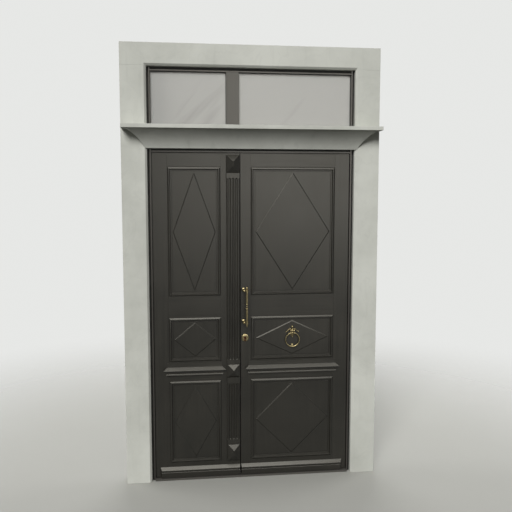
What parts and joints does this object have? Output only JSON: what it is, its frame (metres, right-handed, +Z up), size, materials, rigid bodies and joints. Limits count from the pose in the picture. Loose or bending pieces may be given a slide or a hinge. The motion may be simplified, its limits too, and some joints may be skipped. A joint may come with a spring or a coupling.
{
  "type": "double front door",
  "caption": "Panelled double front door with unequal inward-opening leaves, fluted meeting pilaster, fanlight, timber frame and a stone surround with a coved cornice.",
  "frame": {"origin": "centre of the threshold's underside, on the floor in the middle of the stone's depth", "axes": "+X to the right seen from the street, +Y into the house, +Z up"},
  "size_m": [1.76, 0.253, 3],
  "materials": {
    "dressed_stone": "fine honed, faint veins",
    "leaf_paint": "satin charcoal paint",
    "frame_paint": "satin grey paint",
    "polished_brass": "polished, slightly aged",
    "dark_bronze": "brown, rubbed",
    "fanlight_glass": "clear, pale grey reflection",
    "seal_rubber": "matt",
    "lock_steel": "zinc plated",
    "threshold_metal": "dark satin"
  },
  "bodies": {
    "surround": {"stone_jamb_left": "dressed_stone", "stone_jamb_right": "dressed_stone", "stone_lintel": "dressed_stone", "stone_cornice": "dressed_stone", "threshold": "threshold_metal", "frame_jamb_left": "frame_paint", "frame_jamb_right": "frame_paint", "frame_head": "frame_paint", "frame_transom": "frame_paint", "fanlight_mullion": "frame_paint", "fanlight_glass_left": "fanlight_glass", "fanlight_glass_right": "fanlight_glass", "glazing_beads": "frame_paint", "frame_seals": "seal_rubber", "hinge_frame_flaps": "polished_brass", "hinge_pins": "polished_brass"},
    "left_leaf": {"left_hinge_stile": "leaf_paint", "left_meeting_stile": "leaf_paint", "left_top_rail": "leaf_paint", "left_upper_lock_rail": "leaf_paint", "left_lower_lock_rail": "leaf_paint", "left_bottom_rail": "leaf_paint", "left_upper_panel": "leaf_paint", "left_middle_panel": "leaf_paint", "left_lower_panel": "leaf_paint", "left_panel_mouldings": "leaf_paint", "left_ledge_moulding": "leaf_paint", "left_weatherboard": "leaf_paint", "left_hinge_flaps": "polished_brass", "pilaster_shafts": "leaf_paint", "pilaster_end_blocks": "leaf_paint", "pilaster_middle_block": "leaf_paint", "strike_plate": "polished_brass", "flush_bolt_plates": "polished_brass"},
    "right_leaf": {"right_hinge_stile": "leaf_paint", "right_lock_stile": "leaf_paint", "right_top_rail": "leaf_paint", "right_upper_lock_rail": "leaf_paint", "right_lower_lock_rail": "leaf_paint", "right_bottom_rail": "leaf_paint", "right_upper_panel": "leaf_paint", "right_middle_panel": "leaf_paint", "right_lower_panel": "leaf_paint", "right_panel_mouldings": "leaf_paint", "right_ledge_moulding": "leaf_paint", "right_weatherboard": "leaf_paint", "right_hinge_flaps": "polished_brass", "pull_handle_posts": "polished_brass", "pull_handle_bar": "polished_brass", "keyhole_roses": "polished_brass", "lock_case": "lock_steel", "lock_cylinder": "dark_bronze", "knocker_plate": "polished_brass"},
    "cylinder_plug": {"cylinder_plug": "dark_bronze"},
    "thumb_turn": {"thumb_turn": "polished_brass"},
    "dead_bolt": {"dead_bolt": "polished_brass"},
    "knocker_ring": {"knocker_ring": "polished_brass"},
    "top_flush_bolt": {"top_flush_bolt": "polished_brass"},
    "bottom_flush_bolt": {"bottom_flush_bolt": "polished_brass"}
  },
  "joints": [
    {"name": "left_leaf_hinge", "type": "hinge", "parent": "surround", "child": "left_leaf", "pos_m": [-0.697, 0.04, 1.15], "axis": [0, 0, 1], "range_deg": [0, 100]},
    {"name": "right_leaf_hinge", "type": "hinge", "parent": "surround", "child": "right_leaf", "pos_m": [0.697, 0.04, 1.15], "axis": [0, 0, -1], "range_deg": [0, 100]},
    {"name": "knocker_swing", "type": "hinge", "parent": "right_leaf", "child": "knocker_ring", "pos_m": [0.2845, -0.038, 1.048], "axis": [-1, 0, 0], "range_deg": [0, 75]},
    {"name": "key_turn", "type": "hinge", "parent": "right_leaf", "child": "cylinder_plug", "pos_m": [-0.052, -0.031, 1.005], "axis": [0, 1, 0], "range_deg": [0, 180]},
    {"name": "thumb_turn_spin", "type": "hinge", "parent": "right_leaf", "child": "thumb_turn", "pos_m": [-0.052, 0.04, 1.005], "axis": [0, 1, 0], "range_deg": [0, 180]},
    {"name": "dead_bolt_throw", "type": "slide", "parent": "right_leaf", "child": "dead_bolt", "axis": [-1, 0, 0], "range_m": [0, 0.02]},
    {"name": "top_flush_bolt_slide", "type": "slide", "parent": "left_leaf", "child": "top_flush_bolt", "axis": [0, 0, 1], "range_m": [0, 0.014]},
    {"name": "bottom_flush_bolt_slide", "type": "slide", "parent": "left_leaf", "child": "bottom_flush_bolt", "axis": [0, 0, -1], "range_m": [0, 0.014]}
  ],
  "couplings": [
    {"joint": "key_turn", "follows": "dead_bolt_throw", "rad_per_m": 157.08},
    {"joint": "thumb_turn_spin", "follows": "dead_bolt_throw", "rad_per_m": 157.08}
  ]
}
